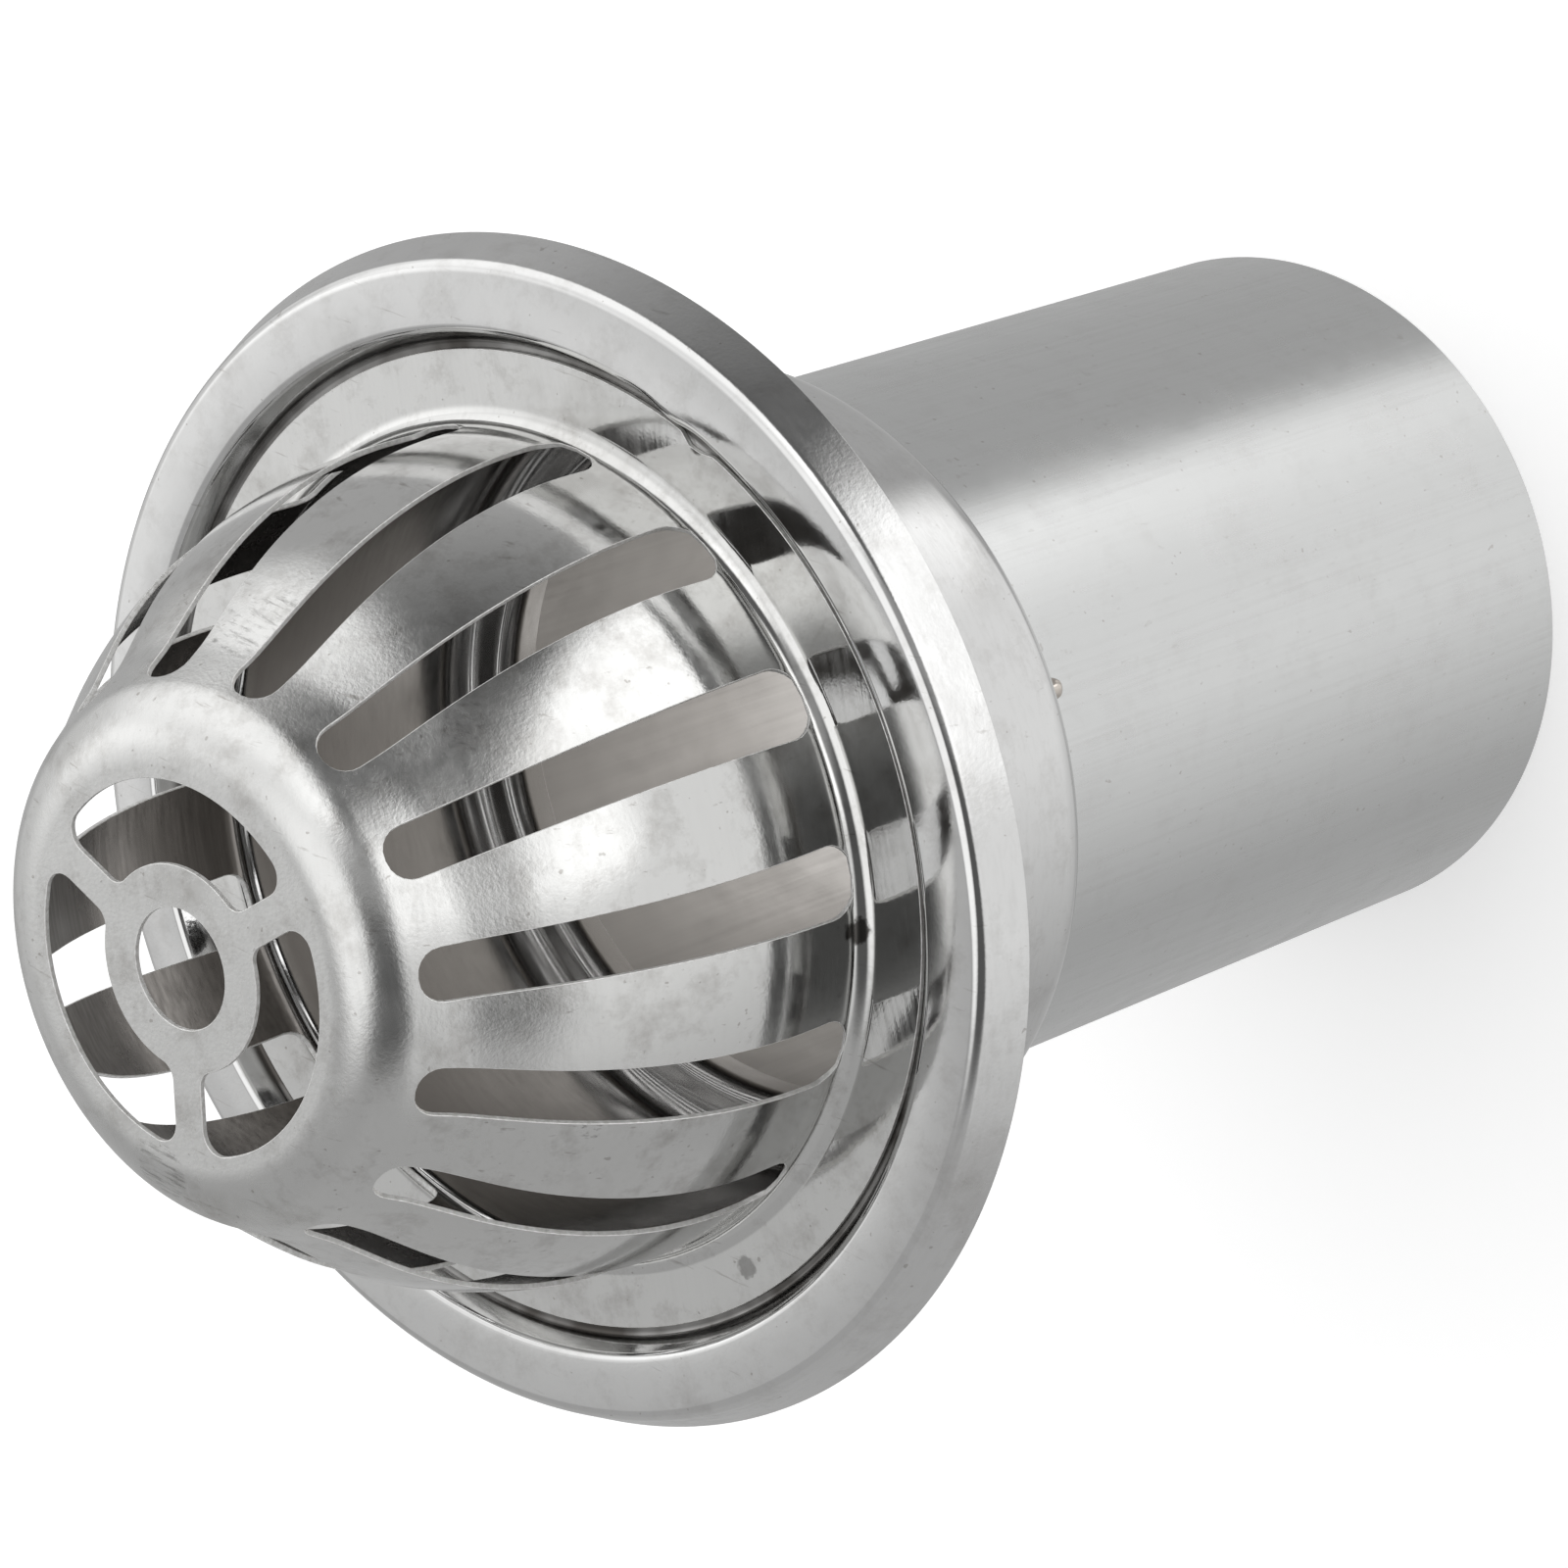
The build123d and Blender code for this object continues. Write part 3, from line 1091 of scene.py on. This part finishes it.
def add_floor():
    """A white table top under the part, left out of the metal's mirror images."""
    bm = bmesh.new()
    bmesh.ops.create_circle(bm, cap_ends=True, radius=FLOOR_RADIUS, segments=FLOOR_SEGMENTS)
    mesh = bpy.data.meshes.new("floor")
    bm.to_mesh(mesh)
    bm.free()
    floor = bpy.data.objects.new("floor", mesh)
    bpy.context.scene.collection.objects.link(floor)
    material, _, shader = new_material("floor_paper")
    shader.inputs["Base Color"].default_value = FLOOR_COLOUR
    shader.inputs["Roughness"].default_value = FLOOR_ROUGHNESS
    shader.inputs["Specular IOR Level"].default_value = 0.0
    shader.inputs["Emission Color"].default_value = WHITE
    shader.inputs["Emission Strength"].default_value = FLOOR_GLOW
    mesh.materials.append(material)
    floor.visible_glossy = False


# Each area of the surroundings below is a share of 0 to 1 in the directions that it covers, and a
# brightness. right, up and near run from -1 to 1: how far a direction points to the photograph's
# right, to its top, and towards the camera.

def dark_gap(n, up, near):
    """A gap between the lights at the photograph's top, darker towards the camera."""
    return n.soft(up, 0.15, 0.4), n.ramp(near, -0.35, 0.35, 0.5, 0.15)


def right_softbox(n, right, up, near):
    """A softbox on the right, brightest high up and towards the camera."""
    share = n.soft(n.total(right, n.product(near, 0.25)), 0.4, 0.58)
    high = n.total(up, n.product(near, 0.8))
    glare_side = n.math("MAXIMUM", n.soft(near, 0.6, 0.75), n.soft(up, 0.4, 0.6))
    glare = n.product(n.soft(high, 0.45, 0.68, 0.0, 0.7), glare_side)
    return share, n.total(n.ramp(high, -1.0, 0.0, 0.45, 1.0), glare)


def left_screen(n, right, up, near):
    """A screen on the left, brighter in steps towards its top, its far left and the camera."""
    share = n.soft(n.total(right, n.product(near, -0.3)), -0.3, -0.46)
    lower = n.soft(up, -0.5, -0.12, 0.0, 0.2)
    middle = n.product(n.soft(up, -0.2, 0.15), n.soft(near, -0.45, -0.2, 0.1, 0.42))
    upper = n.soft(up, 0.3, 0.6, 0.0, 0.32)
    far_edge = n.total(n.soft(right, -0.84, -0.9, 0.0, 0.15), n.soft(right, -0.93, -0.955, 0.0, 0.27))
    far_left = n.product(far_edge, n.soft(near, -0.1, 0.2, 1.0, 0.25))
    by_camera = n.product(n.soft(near, 0.68, 0.8, 0.0, 0.4), n.soft(up, 0.15, 0.35))
    return share, n.total(LEFT_LIGHT, lower, middle, upper, far_left, by_camera)


def camera_side(n, right, up, near):
    """The dark side of the room below the camera."""
    across = n.total(right, n.product(up, 0.4))
    share = n.product(n.soft(near, 0.5, 0.72), n.soft(up, 0.1, -0.2), n.soft(across, 0.4, 0.12))
    return share, CAMERA_SIDE_LIGHT


def add_world():
    """The studio round the part: areas of light and dark, each laid over the ones before it."""
    world = bpy.data.worlds.new("studio")
    world.use_nodes = True
    n = Nodes(world.node_tree)
    towards = n.coordinates["Generated"]
    right, up, near = (n.dot(towards, axis) for axis in photo_axes())
    overhead = n.dot(towards, (0, 0, 1))
    areas = (
        dark_gap(n, up, near),
        right_softbox(n, right, up, near),
        left_screen(n, right, up, near),
        (n.soft(near, 0.88, 0.97), CAMERA_LIGHT),
        camera_side(n, right, up, near),
        (n.soft(overhead, 0.86, 0.96), OVERHEAD_LIGHT),
    )
    light = LOW_LIGHT
    for share, brightness in areas:
        light = n.blend(share, light, brightness)
    background = world.node_tree.nodes["Background"]
    background.inputs["Color"].default_value = WHITE
    n.link(light, background.inputs["Strength"])
    bpy.context.scene.world = world


def add_tube_light():
    """Stands in for the light that enters the tube's open end in the photograph."""
    data = bpy.data.lights.new("tube_light", "AREA")
    data.shape = "DISK"
    data.size = 2 * (TUBE_RADIUS - TUBE_LIGHT_INSET)
    data.energy = TUBE_LIGHT_POWER
    data.color = TUBE_LIGHT_COLOUR
    light = bpy.data.objects.new("tube_light", data)
    light.rotation_euler = (math.pi, 0, 0)
    light.location = (0, 0, TUBE_LIGHT_HEIGHT)
    light.visible_camera = False
    bpy.context.scene.collection.objects.link(light)


build_dome()
build_cup()
build_tube()
build_tacks()
add_floor()
add_world()
bpy.context.scene.view_settings.view_transform = "Standard"
add_tube_light()
add_camera()
